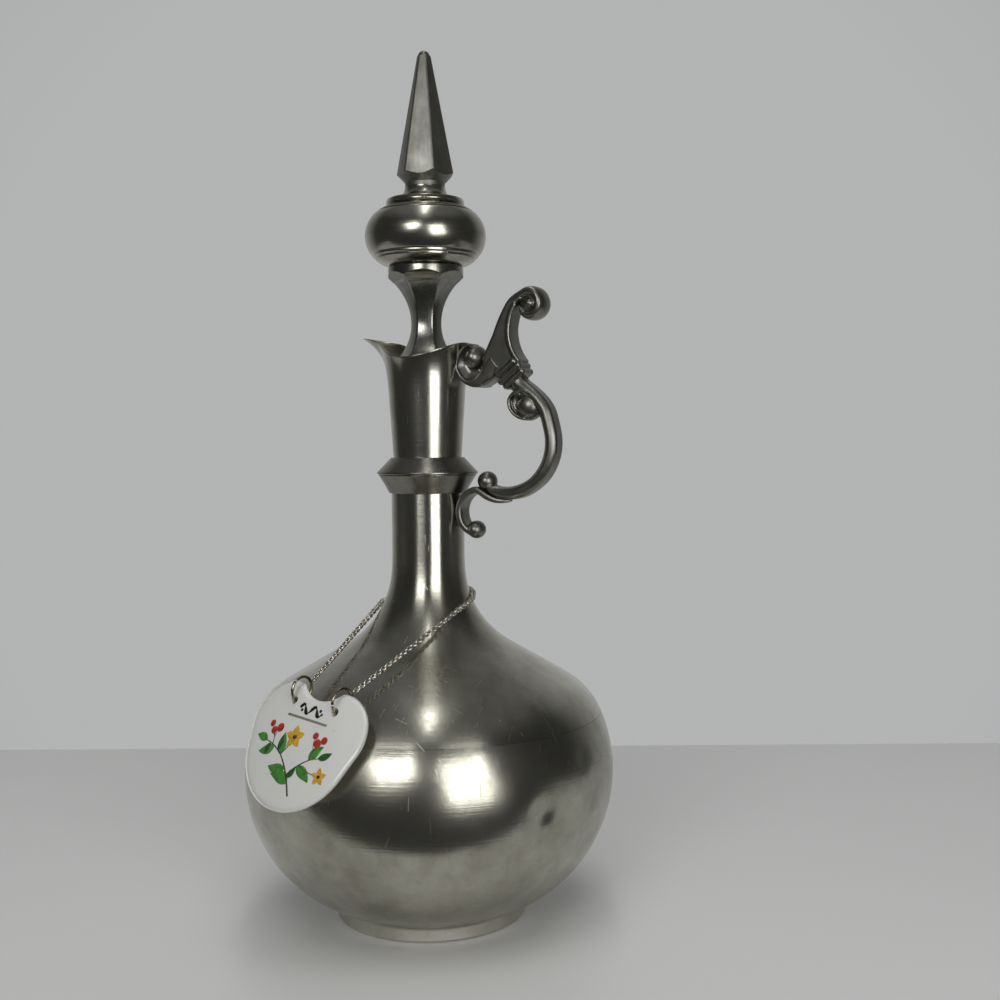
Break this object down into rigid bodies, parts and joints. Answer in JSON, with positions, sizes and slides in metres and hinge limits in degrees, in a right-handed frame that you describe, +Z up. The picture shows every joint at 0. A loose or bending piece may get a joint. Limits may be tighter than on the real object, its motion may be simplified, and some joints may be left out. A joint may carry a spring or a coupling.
{
  "type": "decanter",
  "caption": "Bulbous metal decanter with a slender neck, pouring lip, scrolled handle, tall faceted stopper on a cork, and a porcelain label hung from a neck chain.",
  "frame": {"origin": "centre of the underside of the foot ring, on the floor", "axes": "+Z up along the neck, +X towards the handle, -X towards the pouring lip"},
  "size_m": [0.1456, 0.1557, 0.3399],
  "materials": {
    "spun_pewter": "satin, worn polish",
    "cast_pewter": "cast and buffed, darker in the hollows",
    "chain_metal": "pale plated brass wire",
    "porcelain": "white glaze with a printed motif",
    "cork": "natural cork"
  },
  "bodies": {
    "decanter": {"foot_ring": "spun_pewter", "base_plate": "spun_pewter", "belly_bowl": "spun_pewter", "shoulder_shell": "spun_pewter", "neck_collar": "spun_pewter", "mouth_spout": "spun_pewter", "mouth_volute": "cast_pewter", "thumb_lever": "cast_pewter", "handle_band": "cast_pewter", "handle_bow": "cast_pewter", "lower_scroll": "cast_pewter"},
    "stopper": {"stopper_cork": "cork", "stopper_stem": "spun_pewter", "knop_lower": "spun_pewter", "knop_upper": "spun_pewter", "knop_cap": "spun_pewter", "stopper_spire": "spun_pewter"},
    "chain": {"label_chain": "chain_metal"},
    "rings": {"label_rings": "chain_metal"},
    "tag": {"label_plate": "porcelain"}
  },
  "joints": [
    {"name": "stopper_lift", "type": "slide", "parent": "decanter", "child": "stopper", "axis": [0, 0, 1], "range_m": [0, 0.065]},
    {"name": "label_turn", "type": "hinge", "parent": "decanter", "child": "chain", "pos_m": [0, 0, 0.1284], "axis": [0, 0, 1], "continuous": true},
    {"name": "ring_swing", "type": "hinge", "parent": "chain", "child": "rings", "pos_m": [-0.00816, -0.05693, 0.09765], "axis": [-0.9741, 0.2072, 0.0905], "range_deg": [0, 20]},
    {"name": "tag_swing", "type": "hinge", "parent": "rings", "child": "tag", "pos_m": [-0.00921, -0.06123, 0.09624], "axis": [-0.9741, 0.2072, 0.0905], "range_deg": [0, 60]}
  ]
}
